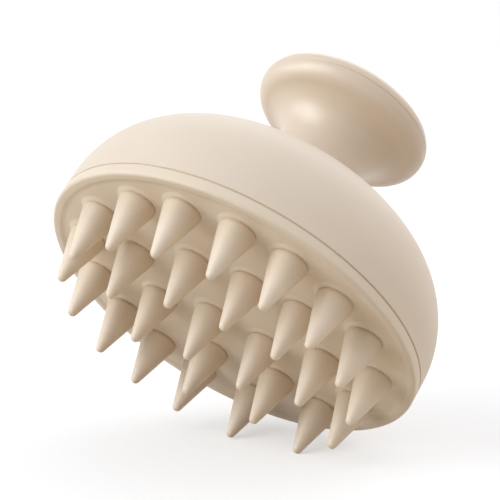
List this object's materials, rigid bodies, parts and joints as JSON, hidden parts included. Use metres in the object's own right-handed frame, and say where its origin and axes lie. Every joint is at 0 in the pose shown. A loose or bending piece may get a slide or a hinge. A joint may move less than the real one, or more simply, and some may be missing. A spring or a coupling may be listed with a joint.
{
  "type": "scalp massage brush",
  "caption": "Hand-held scalp massage brush: matte dome with a mushroom knob on a waisted neck, and a pull-off face plate of round-tipped silicone cone bristles.",
  "frame": {"origin": "on the brush's axis, at the level of the bristle tips, which is the middle of the bottom of its box", "axes": "+Z along the axis from the bristles to the knob, +X and +Y across the face plate"},
  "size_m": [0.08, 0.08, 0.0651],
  "materials": {
    "dome_plastic": "fine grained matte",
    "handle_plastic": "smooth satin",
    "head_plastic": "smooth satin",
    "inner_plastic": "plain moulded",
    "silicone": "soft silky",
    "seal_rubber": "matte",
    "steel": "plain"
  },
  "bodies": {
    "brush_head": {"face_plate": "head_plastic", "bristle_outer_01": "silicone", "bristle_outer_02": "silicone", "bristle_outer_03": "silicone", "bristle_outer_04": "silicone", "bristle_outer_05": "silicone", "bristle_outer_06": "silicone", "bristle_outer_07": "silicone", "bristle_outer_08": "silicone", "bristle_outer_09": "silicone", "bristle_outer_10": "silicone", "bristle_outer_11": "silicone", "bristle_outer_12": "silicone", "bristle_outer_13": "silicone", "bristle_outer_14": "silicone", "bristle_outer_15": "silicone", "bristle_outer_16": "silicone", "bristle_middle_01": "silicone", "bristle_middle_02": "silicone", "bristle_middle_03": "silicone", "bristle_middle_04": "silicone", "bristle_middle_05": "silicone", "bristle_middle_06": "silicone", "bristle_middle_07": "silicone", "bristle_middle_08": "silicone", "bristle_inner_01": "silicone", "bristle_inner_02": "silicone", "bristle_retainer": "inner_plastic", "retainer_screws": "steel", "seal_ring": "seal_rubber"},
    "handle": {"dome_shell": "dome_plastic", "handle_neck": "handle_plastic", "knob_cap": "handle_plastic", "handle_washer": "steel", "handle_screw": "steel"}
  },
  "joints": [
    {"name": "handle_pull_off", "type": "slide", "parent": "brush_head", "child": "handle", "axis": [0, 0, 1], "range_m": [0, 0.018]}
  ]
}
